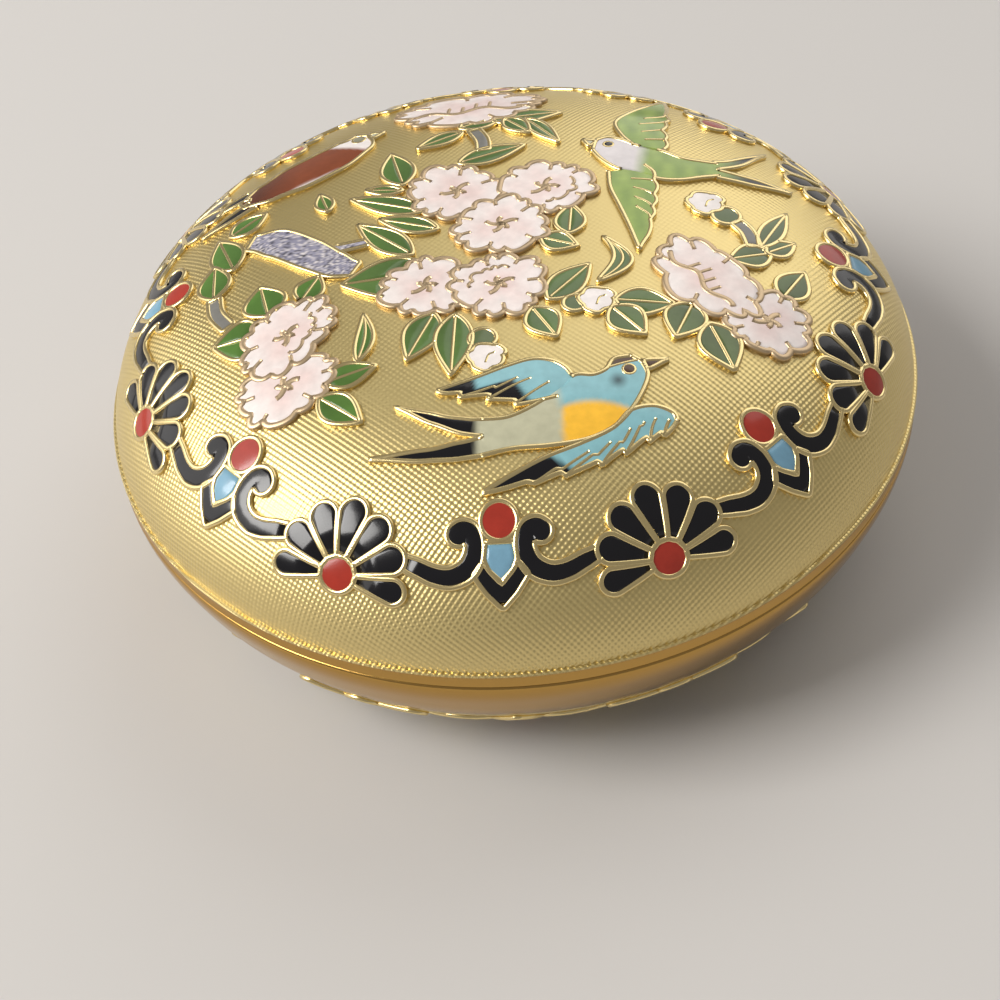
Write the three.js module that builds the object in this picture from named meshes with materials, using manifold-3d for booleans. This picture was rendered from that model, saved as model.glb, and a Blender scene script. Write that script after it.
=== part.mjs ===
// A round trinket box in gilt cloisonne: a domed lid that lifts off a footed bowl.
// Both are hollow metal shells, and their wire-edged enamel stands proud of the gilt ground
// as low pads: a garland of palmettes and pendants round each rim, and birds, blossoms and
// leaves on the crown of the lid.
// Millimetres, +Z up, with the origin under the centre of the foot ring.
import * as THREE from "three";
import { mergeVertices } from "three/addons/utils/BufferGeometryUtils.js";
import Module from "manifold-3d";

const wasm = await Module();
wasm.setup();

// Driving dimensions
const RADIUS = 45; // outside of both rim bands
const BASE_HEIGHT = 17.6; // table to seam
const LID_HEIGHT = 17.4; // seam to crown
const WALL = 1.6; // metal with the enamel lining inside
const BAND_HEIGHT = 1.75; // smooth band along each rim
const BAND_STEP = 0.25; // how far the band stands out from the dome
const BAND_CHAMFER = 0.3; // softened edge of the band at the seam
const SPRING = 0.8; // where each dome springs from, measured from the seam
const SEGMENTS = 32; // facets round the box

// Each dome is height = rise * (1 - (r / radius)^fullness)^(1 / crown)
const LID_CURVE = { fullness: 3.85, crown: 1.73 };
const BASE_CURVE = { fullness: 6, crown: 1.7 };

// Foot ring under the bowl, and the lip inside its mouth that keeps the lid in place
const FOOT = { outer: 28, inner: 26, height: 1.2 };
const LIP = { outer: 42.4, inner: 41.4, above: 2.2, below: 3.4 };

// Raised enamel
const RELIEF = { low: 0.45, high: 0.65 }; // heights above the ground
const SINK = 0.6; // depth below the ground, so that pad and shell join
const SEAM = BASE_HEIGHT;
const DOME_RADIUS = RADIUS - BAND_STEP;
const LID_RISE = LID_HEIGHT - SPRING;
const BASE_RISE = BASE_HEIGHT - FOOT.height - SPRING;

// The garland: units alternate round the rim, placed by their distance from the rim
const UNITS = 8;
const STRIP_RADIUS = 39.15; // circle on which widths along the garland are true
const PALMETTE = { centre: 9.6, reach: 7.3, root: 2.1, petals: 7, spread: 32, shorter: 0.25 };
const PENDANT = { disc: 16.2, radius: 2.1, shoulder: 11.8, width: 2.5, tip: 8.2 };
const SCROLL = {
  path: [[5, 15.1], [3.2, 14.8], [3, 12.6], [4.8, 11.1], [8, 11.9]],
  half: [0.9, 0.9, 0.75, 0.8, 0.7],
};

// Leaves in plan: stalk x, y, tip x, y, half width and how far the middle bows to the left
const LEAVES = [
  [-23.6, -8.2, -25, -3.6, 2.1, 0], [-23.6, -10.6, -29.4, -11.6, 2.4, 0],
  [-17, -19.2, -11.4, -16.9, 1.5, 0], [-17.4, -20.6, -13.2, -24.2, 1.7, 0],
  [-6.4, -10, -9, -17, 1.9, 0], [-4.2, -10.2, -4.6, -19.6, 2, 0],
  [3.6, -10, 6, -15, 1.8, 0], [4.8, -9.2, 9.7, -4.2, 1.8, 0],
  [10.4, -6.8, 11.4, 0, 1, -2.2], [12, -10, 18, -10.8, 1.9, 0],
  [11.6, -11, 14.8, -15, 1.9, 0], [19.6, -10, 17.9, -15.3, 2, 0],
  [21.2, -12, 23.2, -19.2, 2, 0], [28.4, -2.9, 24.2, -3.8, 1.8, 0],
  [29.2, -8.8, 31.8, -4.6, 1.7, 0], [4.6, 1.4, 8.5, -1.4, 1.6, 0],
  [1, 24.6, 7.4, 25.2, 1.6, 0], [-4.5, 14, 3, 17.9, 1.5, 0],
  [-9.4, 11.4, -12.2, 18, 1.9, 0], [-8.2, 7.4, -16.4, 9.8, 1.6, 0],
  [-9, -0.6, -15.2, 5.6, 1.8, 0], [-9.6, -4.4, -16.4, -4.7, 2.7, 0],
  [-28.9, 0.9, -32, 6.6, 1.7, 0], [-29.6, -3.2, -31.6, 1.6, 1.6, 0],
];

// Blossoms in plan: centre x, y, half length, half width and turn in degrees
const BLOSSOMS = [
  [-21.6, -11.6, 5.6, 4, 55], [-21.2, -18.4, 4.9, 3.9, 20], [-7.4, -6.2, 4.4, 4.2, 0],
  [0.2, -6.6, 4.9, 4.6, 0], [-4.6, 9.6, 5.4, 4.5, -25], [5.2, 9.4, 5.2, 4.5, 10],
  [0.4, 3.2, 4.9, 4.6, 0], [21.4, -6.6, 6.4, 3.7, -52], [27, -12.4, 3.8, 3.5, 0],
  [-3.6, 28, 8.2, 4.3, 5],
];
const FRILLS = 6; // round the edge of a blossom
const FRILL = 0.07; // depth of a frill as a share of the blossom's radius

// Buds in their cups, stems and the branch in plan: points along the middle and half widths
const STALKS = [
  { path: [[-1.4, -13.2], [-1.3, -15], [-0.9, -19.3]], half: [1, 1.6, 1] },
  { path: [[6.6, -10.3], [8.2, -10.1], [12.1, -9.7]], half: [0.9, 1.5, 1] },
  { path: [[25.5, 2.4], [24, 4], [21.2, 7.2]], half: [1, 1.7, 1.1] },
  { path: [[-2.9, 23], [-1.9, 19.5], [-1.6, 17]], half: [0.8, 0.8] },
  { path: [[25.8, 2.4], [26.6, 0.8], [26.9, -1.6]], half: [0.8, 0.8] },
  { path: [[-30.4, -3.4], [-29.8, -6.2], [-28, -9]], half: [0.9, 0.9] },
  { path: [[-27.2, 4.7], [-24, 3.6], [-20.5, 1], [-15, -2.6]], half: [1.4, 2.2, 2, 0.9] },
];

// Birds in plan: from tail to beak, then wings and tail feathers, all as tapering strokes
const BIRDS = [
  {
    body: {
      path: [[-2.4, -27.2], [3, -26.4], [8, -24.8], [11.6, -21.6], [13, -19.9], [16.9, -18.4]],
      half: [1.5, 2.2, 3.2, 2, 2.1, 0.1],
    },
    feathers: [
      { path: [[8, -21.6], [4, -19.9], [-0.5, -20.8], [-5.8, -21.4]], half: [1.4, 1.8, 1.5, 0.1] },
      { path: [[17.2, -25.1], [12.5, -26.8], [6, -30], [-2, -33]], half: [0.4, 1.7, 1.6, 0.1] },
      { path: [[-1, -25.8], [-5, -25], [-9.6, -22.8]], half: [1, 0.8, 0.1] },
      { path: [[-1.2, -28], [-6, -28.5], [-11.8, -28.2]], half: [1, 0.8, 0.1] },
    ],
  },
  {
    body: {
      path: [[25.4, 12.5], [21.5, 12.4], [17.5, 13.4], [14.6, 15.1], [12.6, 16.1], [9.6, 18.3]],
      half: [1.2, 2, 2.6, 2.2, 2.2, 0.1],
    },
    feathers: [
      { path: [[16, 15.6], [16.6, 21.5], [17.6, 26], [19.7, 31.2]], half: [1.7, 2.9, 1.9, 0.1] },
      { path: [[14.6, 13], [14.9, 8], [15.4, 4], [15.1, -2]], half: [1.9, 2.5, 1.6, 0.1] },
      { path: [[24, 13.4], [27, 15.4], [30.2, 18.2]], half: [1, 0.7, 0.1] },
      { path: [[24, 11.4], [27.5, 10.7], [32, 9.8]], half: [1, 0.7, 0.1] },
    ],
  },
  {
    body: {
      path: [[-30.6, 12.4], [-26, 15], [-21, 17.8], [-17.8, 20.6], [-16.4, 22.6], [-13.2, 24]],
      half: [0.8, 2, 2.9, 2, 2.1, 0.1],
    },
    feathers: [
      { path: [[-29.6, 12.8], [-33.6, 9.4]], half: [0.9, 0.1] },
      { path: [[-28.6, 14.4], [-32.8, 12.2]], half: [0.9, 0.1] },
    ],
  },
];

const GILT = { color: 0xcfae58, roughness: 0.34, metalness: 1 };

// Solids and geometry

/** A closed three.js geometry as a solid: shared vertices merged, empty triangles dropped. */
function solidOf(geometry) {
  const bare = geometry.clone();
  bare.deleteAttribute("normal");
  bare.deleteAttribute("uv");
  const merged = mergeVertices(bare, 1e-4);
  const corners = [...merged.index.array];
  const kept = corners.filter((_, i) => {
    const [a, b, c] = corners.slice(i - (i % 3), i - (i % 3) + 3);
    return a !== b && b !== c && c !== a;
  });
  const vertProperties = merged.attributes.position.array;
  const triVerts = new Uint32Array(kept);
  return new wasm.Manifold(new wasm.Mesh({ numProp: 3, vertProperties, triVerts }));
}

/** A solid as a three.js geometry with flat facets. */
function geometryOf(solid) {
  const { vertProperties, triVerts } = solid.getMesh();
  const geometry = new THREE.BufferGeometry();
  geometry.setAttribute("position", new THREE.BufferAttribute(vertProperties, 3));
  geometry.setIndex(new THREE.BufferAttribute(triVerts, 1));
  return geometry.toNonIndexed();
}

/** A profile of [radius, height] pairs turned about Z. */
function turned(profile) {
  const points = profile.map(([r, z]) => new THREE.Vector2(r, z)).reverse();
  return new THREE.LatheGeometry(points, SEGMENTS).rotateX(Math.PI / 2);
}

// Profiles

/** Height of a dome above its springing line at radius r. */
function domeHeight(r, radius, rise, { fullness, crown }) {
  const inside = Math.max(0, 1 - (r / radius) ** fullness);
  return rise * inside ** (1 / crown);
}

/** Points down a dome from its top to the given end radius, closer together on the shoulder. */
function domeProfile(radius, rise, curve, endRadius, steps) {
  return Array.from({ length: steps + 1 }, (_, i) => {
    const r = endRadius * Math.sin((Math.PI / 2) * (i / steps));
    return [r, domeHeight(r, radius, rise, curve)];
  });
}

/** Radius at which a dome is the given height above its springing line. */
function domeRadiusAt(height, radius, rise, { fullness, crown }) {
  return radius * (1 - (height / rise) ** crown) ** (1 / fullness);
}

const bandTop = BAND_HEIGHT - SPRING;
const lidLevel = SEAM + SPRING;
const baseLevel = SEAM - SPRING;

/** The lid: dome, step out to the rim band, flat seat, and the hollow inside. */
function lidShell() {
  const end = domeRadiusAt(bandTop, DOME_RADIUS, LID_RISE, LID_CURVE);
  const outside = domeProfile(DOME_RADIUS, LID_RISE, LID_CURVE, end, 7);
  const inner = DOME_RADIUS - WALL + BAND_STEP;
  const hollow = domeProfile(inner, LID_RISE - WALL, LID_CURVE, inner, 5);
  return turned([
    ...outside.map(([r, h]) => [r, lidLevel + h]),
    [RADIUS, SEAM + BAND_HEIGHT - BAND_STEP],
    [RADIUS, SEAM + BAND_CHAMFER],
    [RADIUS - BAND_CHAMFER, SEAM],
    [inner, SEAM],
    ...hollow.reverse().map(([r, h]) => [r, lidLevel + h]),
  ]);
}

/** The bowl: foot ring, round wall, rim band, flat seat, lip and the hollow inside. */
function baseShell() {
  const end = domeRadiusAt(bandTop, DOME_RADIUS, BASE_RISE, BASE_CURVE);
  const wall = domeProfile(DOME_RADIUS, BASE_RISE, BASE_CURVE, end, 8);
  const outside = wall.filter(([r]) => r > FOOT.outer);
  const inner = DOME_RADIUS - WALL;
  const hollow = domeProfile(inner, BASE_RISE - WALL, BASE_CURVE, inner, 6);
  const floor = hollow.filter(([r]) => r < LIP.inner);
  const underLip = [LIP.inner, domeHeight(LIP.inner, inner, BASE_RISE - WALL, BASE_CURVE)];
  return turned([
    ...floor.map(([r, h]) => [r, baseLevel - h]),
    [underLip[0], Math.min(baseLevel - underLip[1], SEAM - LIP.below)],
    [LIP.inner, SEAM + LIP.above],
    [LIP.outer, SEAM + LIP.above],
    [LIP.outer, SEAM],
    [RADIUS - BAND_CHAMFER, SEAM],
    [RADIUS, SEAM - BAND_CHAMFER],
    [RADIUS, SEAM - BAND_HEIGHT + BAND_STEP],
    ...outside.reverse().map(([r, h]) => [r, baseLevel - h]),
    [FOOT.outer, FOOT.height],
    [FOOT.outer, 0],
    [FOOT.inner, 0],
    [FOOT.inner, FOOT.height],
    [0, FOOT.height],
  ]);
}

// Surfaces that the enamel lies on

/** A meridian of a dome: gives the radius and height at a distance from the rim. */
function meridian(rise, curve) {
  const count = 400;
  const points = domeProfile(DOME_RADIUS, rise, curve, DOME_RADIUS, count).reverse();
  const run = [0];
  for (let i = 1; i <= count; i += 1) {
    const [[r0, h0], [r1, h1]] = [points[i - 1], points[i]];
    run.push(run[i - 1] + Math.hypot(r1 - r0, h1 - h0));
  }
  return (distance) => {
    const i = Math.max(1, run.findIndex((value) => value >= distance));
    const [[r0, h0], [r1, h1]] = [points[i - 1], points[i]];
    const t = (distance - run[i - 1]) / (run[i] - run[i - 1]);
    return [r0 + t * (r1 - r0), h0 + t * (h1 - h0)];
  };
}

/** The ground of a garland, turned to an angle: x runs along the rim and y away from it. */
function rimGround(rise, curve, up) {
  const along = meridian(rise, curve);
  return (angle) => (x, y) => {
    const [r, h] = along(y);
    const turn = angle + (up * x) / STRIP_RADIUS;
    return new THREE.Vector3(r * Math.sin(turn), -r * Math.cos(turn), SEAM + up * (SPRING + h));
  };
}

/** The ground of the crown's picture, by plan x and y. */
function crownGround(x, y) {
  const height = domeHeight(Math.hypot(x, y), DOME_RADIUS, LID_RISE, LID_CURVE);
  return new THREE.Vector3(x, y, lidLevel + height);
}

/** Outward direction of a ground at one place. */
function outward(ground, x, y) {
  const step = 0.01;
  const here = ground(x, y);
  const along = ground(x + step, y).sub(here);
  return along.cross(ground(x, y + step).sub(here)).normalize();
}

// Flat figures, each a list of small polygons that share edges, so that a pad can follow its ground

/** A stroke: a smooth path with half widths spaced evenly along it, cut into short lengths. */
function stroke({ path, half }, steps) {
  const curve = new THREE.SplineCurve(path.map(([x, y]) => new THREE.Vector2(x, y)));
  const sides = Array.from({ length: steps + 1 }, (_, i) => {
    const t = i / steps;
    const place = t * (half.length - 1);
    const k = Math.min(Math.floor(place), half.length - 2);
    const width = half[k] + (place - k) * (half[k + 1] - half[k]);
    const { x, y } = curve.getPoint(t);
    const tangent = curve.getTangent(t);
    const [dx, dy] = [-tangent.y * width, tangent.x * width];
    return [[x - dx, y - dy], [x + dx, y + dy]];
  });
  return sides.slice(1).map(([right, left], i) => [sides[i][0], right, left, sides[i][1]]);
}

/** A leaf from stalk to tip, widest a little before its middle. */
function leaf([x0, y0, x1, y1, half, bow]) {
  const [dx, dy] = [x1 - x0, y1 - y0];
  const length = Math.hypot(dx, dy);
  const place = (t, side) => {
    const off = (side * half * Math.sin(Math.PI * t ** 0.8) + bow * Math.sin(Math.PI * t)) / length;
    return [x0 + dx * t - dy * off, y0 + dy * t + dx * off];
  };
  return [[place(0, 0), place(0.3, -1), place(0.68, -1), place(1, 0), place(0.68, 1), place(0.3, 1)]];
}

/** A blossom: an ellipse with a frilled edge, cut into one wedge for each frill. */
function blossom([x, y, long, wide, turn]) {
  const spin = THREE.MathUtils.degToRad(turn);
  const edge = (i) => {
    const angle = (Math.PI * (i % (2 * FRILLS))) / FRILLS;
    const swell = 1 + (i % 2 ? FRILL : -FRILL);
    const [u, v] = [long * swell * Math.cos(angle), wide * swell * Math.sin(angle)];
    return [x + u * Math.cos(spin) - v * Math.sin(spin), y + u * Math.sin(spin) + v * Math.cos(spin)];
  };
  return Array.from({ length: FRILLS }, (_, i) => [[x, y], edge(2 * i), edge(2 * i + 1), edge(2 * i + 2)]);
}

/** A palmette: petals fanned round a hub, with a notch between each pair. */
function palmette() {
  const { centre, reach, root, petals, spread, shorter } = PALMETTE;
  const last = (petals - 1) / 2;
  const at = (degrees, radius) => {
    const angle = THREE.MathUtils.degToRad(degrees);
    return [radius * Math.sin(angle), centre + radius * Math.cos(angle)];
  };
  const foot = [at(-150, root), at(150, root)];
  const notch = (k) => {
    if (Math.abs(k) > last) return foot[k > 0 ? 1 : 0];
    return at(k * spread, 0.72 * (reach - shorter * Math.abs(k)));
  };
  const wedges = Array.from({ length: petals }, (_, i) => {
    const k = i - last;
    const tip = reach - shorter * Math.abs(k);
    const petal = [0.3, -0.3].map((share) => at((k + share) * spread, tip));
    return [[0, centre], notch(k + 0.5), ...petal, notch(k - 0.5)];
  });
  return [...wedges, [[0, centre], ...foot]];
}

/** A pendant: a disc with a pointed drop below it. */
function pendant() {
  const { disc, radius, shoulder, width, tip } = PENDANT;
  const round = [-45, 9, 63, 117, 171, 225].map((degrees) => {
    const angle = THREE.MathUtils.degToRad(degrees);
    return [radius * Math.cos(angle), disc + radius * Math.sin(angle)];
  });
  return [round, [round[0], round[5], [-width, shoulder], [0, tip], [width, shoulder]]];
}

/** A figure turned over left to right. */
function mirrored(figure) {
  return figure.map((polygon) => polygon.map(([x, y]) => [-x, y]).reverse());
}

// Raised pads

/** A low pad of the given figure and height on a ground, its sides all parallel. */
function pad(figure, height, ground) {
  const name = (corner) => corner.map((value) => value.toFixed(4)).join(" ");
  const corners = [...new Map(figure.flat().map((corner) => [name(corner), corner])).values()];
  const names = corners.map(name);
  const count = corners.length;
  const middle = [0, 1].map((k) => corners.reduce((sum, corner) => sum + corner[k], 0) / count);
  const out = outward(ground, ...middle);
  const layer = (lift) => corners.map(([x, y]) => ground(x, y).addScaledVector(out, lift));
  const top = [];
  const edges = new Map();
  for (const polygon of figure) {
    const flat = polygon.map(([x, y]) => new THREE.Vector2(x, y));
    const ring = polygon.map((corner) => names.indexOf(name(corner)));
    top.push(...THREE.ShapeUtils.triangulateShape(flat, []).map((face) => face.map((k) => ring[k])));
    ring.forEach((from, i) => {
      const to = ring[(i + 1) % ring.length];
      if (!edges.delete(`${to} ${from}`)) edges.set(`${from} ${to}`, [from, to]);
    });
  }
  const sides = [...edges.values()].flatMap(([a, b]) => [[a, a + count, b + count], [a, b + count, b]]);
  const under = top.map(([a, b, c]) => [a + count, c + count, b + count]);
  const block = new THREE.BufferGeometry().setFromPoints([...layer(height), ...layer(-SINK)]);
  return solidOf(block.setIndex([...top, ...sides, ...under].flat()));
}

/** Pads of one figure, repeated round a rim from the given share of a step. */
function ring(figure, height, ground, share) {
  const step = (2 * Math.PI) / UNITS;
  return Array.from({ length: UNITS }, (_, i) => pad(figure, height, ground((i + share) * step)));
}

/** The garland of the lid: palmettes between pendants with a scroll on either side. */
function lidGarland() {
  const ground = rimGround(LID_RISE, LID_CURVE, 1);
  const scroll = stroke(SCROLL, SCROLL.path.length - 1);
  return [
    ...ring(pendant(), RELIEF.high, ground, 0),
    ...ring(scroll, RELIEF.low, ground, 0),
    ...ring(mirrored(scroll), RELIEF.low, ground, 0),
    ...ring(palmette(), RELIEF.high, ground, 0.5),
  ];
}

/** The garland of the bowl, hanging the other way up: palmettes alone stand out. */
function baseGarland() {
  return ring(palmette(), RELIEF.high, rimGround(BASE_RISE, BASE_CURVE, -1), 0.5);
}

/** The picture on the crown: leaves, stalks and feathers low, blossoms and bodies above them. */
function picture() {
  const low = [
    ...LEAVES.map(leaf),
    ...STALKS.map((stalk) => stroke(stalk, stalk.path.length - 1)),
    ...BIRDS.flatMap(({ feathers }) => feathers.map((feather) => stroke(feather, feather.path.length - 1))),
  ];
  const high = [
    ...BLOSSOMS.map(blossom),
    ...BIRDS.map(({ body }) => stroke(body, 6)),
  ];
  return [
    ...low.map((figure) => pad(figure, RELIEF.low, crownGround)),
    ...high.map((figure) => pad(figure, RELIEF.high, crownGround)),
  ];
}

// The two pieces

/** A shell with its pads joined to it, as a named mesh. */
function piece(name, shell, pads) {
  const solid = pads.reduce((whole, raised) => whole.add(raised), solidOf(shell));
  const mesh = new THREE.Mesh(geometryOf(solid), new THREE.MeshStandardMaterial(GILT));
  mesh.name = name;
  return mesh;
}

const box = new THREE.Group();
box.add(
  piece("lid", lidShell(), [...lidGarland(), ...picture()]),
  piece("base", baseShell(), baseGarland()),
);

export default box;
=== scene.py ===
"""Looks of a round gilt cloisonne box: linen-stamped metal, wires and enamel on a lid and a bowl.

The drawing is flat. Each figure is a ribbon or a fan in millimetres, either on the plan of the crown or on
the strip along a rim, and is laid on the dome along its normals.
"""

import math

import bpy
import numpy as np
from bpy.props import FloatProperty, FloatVectorProperty, IntProperty, PointerProperty
from mathutils import Matrix, Vector


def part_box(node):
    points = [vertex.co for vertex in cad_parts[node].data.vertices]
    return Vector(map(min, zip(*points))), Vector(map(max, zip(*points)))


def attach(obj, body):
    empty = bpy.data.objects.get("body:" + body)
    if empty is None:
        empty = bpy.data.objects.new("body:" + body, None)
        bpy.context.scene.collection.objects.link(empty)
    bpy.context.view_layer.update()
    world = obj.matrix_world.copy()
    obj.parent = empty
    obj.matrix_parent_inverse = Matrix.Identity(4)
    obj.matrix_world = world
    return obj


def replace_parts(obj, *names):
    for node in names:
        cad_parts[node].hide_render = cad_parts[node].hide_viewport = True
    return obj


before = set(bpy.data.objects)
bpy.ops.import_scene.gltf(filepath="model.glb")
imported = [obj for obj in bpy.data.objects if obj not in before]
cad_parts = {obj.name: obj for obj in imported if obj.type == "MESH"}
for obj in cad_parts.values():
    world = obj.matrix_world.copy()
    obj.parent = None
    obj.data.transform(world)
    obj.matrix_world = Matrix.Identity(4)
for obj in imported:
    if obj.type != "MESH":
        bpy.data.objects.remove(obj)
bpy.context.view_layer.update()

bl_info = {
    "name": "Cloisonne box",
    "version": (1, 0, 0),
    "blender": (4, 5, 0),
    "location": "View3D > Sidebar > Box",
    "description": "Builds the lid, the bowl and the stage of a round gilt cloisonne box",
    "category": "Object",
}

MM = 0.001

# The turned metal, in millimetres
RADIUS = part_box("lid")[1][0] / MM
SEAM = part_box("lid")[0][2] / MM
BAND_HEIGHT = 1.75
BAND_STEP = 0.25  # how far the band stands out from the dome
SPRING = 0.8  # distance from the seam to where either dome begins
DOME_RADIUS = RADIUS - BAND_STEP
LID_RISE = 16.6
FOOT_HEIGHT = 1.2
FOOT_OUTER = 28.0
FOOT_INNER = 26.0
BASE_RISE = SEAM - FOOT_HEIGHT - SPRING
WALL = 1.6
LIP_OUTER = 42.4
LIP_INNER = 41.4
LIP_ABOVE = 2.2  # height of the bowl's lip inside the lid
SMOOTH_WALL = 7.5  # depth under the seam at which the bowl's linen begins
BOWL_EASE = 3.6  # height over which the bowl's band runs out into its wall
LID_EDGE = 1.15  # distance up the lid's dome at which its linen begins
CORNER = 0.25
LIP_ROUND = 0.2
OUTSIDE_STEPS = 90
LID_HOLLOW_STEPS = 40
BASE_HOLLOW_STEPS = 60
SHARP_DEGREES = 40
LINEN, BAND, LINING = range(3)

# The finishes
LINEN_TURNS = (48.5, 140.0)  # degrees of the two sets of stamped lines
LINEN_ROUGHNESS = 0.4
BAND_ROUGHNESS = 0.2
WIRE_ROUGHNESS = 0.24
DULL_ROUGHNESS = 0.45
ENAMEL_ROUGHNESS = 0.16

# The drawing, in millimetres and shares
UNITS = 8
STRIP_RADIUS = 39.15  # radius at which the garland has its true width
SUNK = -0.12  # how far edges are tucked into the ground
WIRE_STEP = 0.3
WIRE_ACROSS = np.array([-0.5, -0.46, -0.26, 0.26, 0.46, 0.5])  # in wire widths
WIRE_SHOULDER = 0.74  # height of a wire's side as a share of its top
FINE_HEIGHT = 0.94  # height of a fine wire as a share of a full one
CELL_LENGTH = 3.3  # length of a cell with as many rows as columns
CELL_ROWS = (7, 60)  # fewest and most
NEAR_END = 0.995  # where a cell's first and last rows lie, from its middle
NEAR_SIDE = 0.985  # where its outermost columns lie
FAN_RINGS = np.array([1, NEAR_SIDE, 0.85, 0.65, 0.45, 0.22])  # shares of the way to the outline
EDGE_POINTS = 60
PETAL_TURN = 32  # degrees from one petal to the next
PETAL_SPREAD = 29.5
OUTER_SPREAD = 26
SCROLL_POINTS = 140
SCROLL_TOUCH = 0.07  # depth inside the curl at which its wire stops
LEAF_TAPER = 0.8  # power that moves a leaf's widest place towards its stalk
UNDER_BLOSSOM = 0.96  # share of a figure under which others are hidden
UNDER_LEAF = 0.94
UNDER_BUD = 0.95
EDGE_THICK = 1.25  # wires of a blossom against a plain wire
HEART_THICK = 1.35
STAMEN_THICK = 0.9  # at the notches too
CURL_THICK = 0.8
BLOSSOM_STEP = 0.006  # rise of each blossom over the one before
WING_POINTS = 240
PRONG_ROOT = 0.1  # where the wires of a forked tail begin


def linear(red, green, blue):
    """A colour given as 0 to 255 screen values, as linear values."""
    share = np.array([red, green, blue]) / 255
    return tuple(np.where(share <= 0.04045, share / 12.92, ((share + 0.055) / 1.055) ** 2.4))


def colour(name, description, red, green, blue):
    """A colour property with its default."""
    default = linear(red, green, blue)
    return FloatVectorProperty(
        name=name, description=description, default=default, subtype="COLOR", min=0, max=1
    )


def length(name, description, millimetres):
    """A length property with its default in millimetres."""
    default = millimetres * MM
    return FloatProperty(
        name=name, description=description, default=default, unit="LENGTH", min=0, precision=5
    )


class BoxMetal(bpy.types.PropertyGroup):
    """Sizes and colours of the metal."""

    segments: IntProperty(name="Segments", description="Facets round the turned metal", default=192, min=32)
    wire_width: length("Wire width", "Width of the wires round the enamel", 0.6)
    vein_width: length("Vein width", "Width of the finer wires inside a figure", 0.42)
    wire_height: length("Wire height", "Height of the wires above the ground", 0.46)
    linen_pitch: length("Linen pitch", "Distance between the stamped linen lines", 0.51)
    linen_depth: length("Linen depth", "Depth of the stamped linen", 0.066)
    gilt: colour("Gilt", "Colour of the linen-stamped gilt", 224, 203, 142)
    # The band colour is partly the smooth gilt's own tone and partly painted shade, darker than the linen
    # gilt where the rim and the bowl sit in shade.
    band: colour("Band", "Colour of the smooth gilt bands", 190, 150, 82)
    wire: colour("Wire", "Colour of the gilt wires", 236, 214, 156)
    # The blossom wires' tan is partly a duller, rougher gilt and partly painted shade, the look of such wires
    # away from the light.
    dull: colour("Dull wire", "Colour of the duller wires of the blossoms", 206, 182, 148)


class BoxEnamel(bpy.types.PropertyGroup):
    """Level and colours of the enamel."""

    level: length("Level", "Height of the enamel along a wire", 0.34)
    crown: length("Crown", "Further height in the middle of a cell", 0.06)
    black: colour("Black", "Petals, scrolls and feather tips", 14, 13, 18)
    red: colour("Red", "Discs of the garland", 166, 52, 38)
    blue: colour("Blue", "Kites of the pendants", 122, 166, 190)
    leaf: colour("Leaf", "Leaves on the left", 76, 110, 47)
    shade: colour("Shade leaf", "Leaves on the right", 88, 102, 64)
    white: colour("White", "Blossom edges and buds", 238, 230, 226)
    pink: colour("Pink", "Blossom hearts", 228, 198, 192)
    sky: colour("Sky", "Light blue plumage", 136, 186, 194)
    yellow: colour("Yellow", "Breast of the blue bird", 252, 194, 62)
    grey: colour("Grey", "Bellies and stems", 190, 188, 160)
    green: colour("Green", "Plumage of the green bird", 152, 174, 84)
    brown: colour("Brown", "Plumage of the brown bird", 128, 62, 30)
    lavender: colour("Lavender", "The branch", 144, 142, 160)
    lining: colour("Lining", "Inside and underside", 62, 138, 160)


# Domes and grounds


class Dome:
    """A superellipse of revolution, tabulated along its meridian from the rim to the crown.

    Height is rise * (1 - (r / radius)^fullness)^(1 / crown), with the radius taken as the sine of an angle so
    that the table is fine near the rim. Distance is measured along the meridian from the rim.
    """

    def __init__(self, rise, fullness, crown, up):
        angle = np.linspace(math.pi / 2, 0, 4000)
        self.radius = DOME_RADIUS * np.sin(angle)
        inside = np.clip(1 - np.sin(angle) ** fullness, 0, 1)
        self.height = rise * inside ** (1 / crown)
        steps = np.hypot(np.diff(self.radius), np.diff(self.height))
        self.distance = np.concatenate([[0], np.cumsum(steps)])
        self.out = np.gradient(self.height, self.distance)
        self.top = -np.gradient(self.radius, self.distance)
        self.up = up

    def points(self, turn, distance, lift):
        """Points at an angle round the axis and a distance from the rim, lifted along the normal."""

        def read(table):
            return np.interp(distance, self.distance, table)

        reach = read(self.radius) + lift * read(self.out)
        height = SEAM + self.up * (SPRING + read(self.height) + lift * read(self.top))
        return np.stack([reach * np.sin(turn), -reach * np.cos(turn), height], axis=-1)

    def from_plan(self, flat, lift):
        """Points over a plan position in millimetres, lifted along the normal."""
        radius = np.hypot(flat[..., 0], flat[..., 1])
        distance = np.interp(radius, self.radius[::-1], self.distance[::-1])
        return self.points(np.arctan2(flat[..., 0], -flat[..., 1]), distance, lift)

    def from_strip(self, angle):
        """A ground along the rim at an angle: x runs along the rim and y away from it."""

        def ground(flat, lift):
            turn = angle + self.up * flat[..., 0] / STRIP_RADIUS
            return self.points(turn, flat[..., 1], lift)

        return ground


LID_DOME = Dome(LID_RISE, 3.85, 1.73, 1)
BASE_DOME = Dome(BASE_RISE, 6.0, 1.7, -1)


# Flat figures


def spline(path, count):
    """A smooth curve through the points of a path: a uniform Catmull-Rom spline, as an array of points."""
    path = np.asarray(path, float)
    ends = np.concatenate([[2 * path[0] - path[1]], path, [2 * path[-1] - path[-2]]])
    place = np.linspace(0, len(path) - 1, count)
    k = np.minimum(place.astype(int), len(path) - 2)
    t = (place - k)[:, None]
    a, b, c, d = (ends[k + i] for i in range(4))
    cubic = (3 * b - a - 3 * c + d) * t**3 + (2 * a - 5 * b + 4 * c - d) * t**2 + (c - a) * t
    return b + cubic / 2


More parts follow.
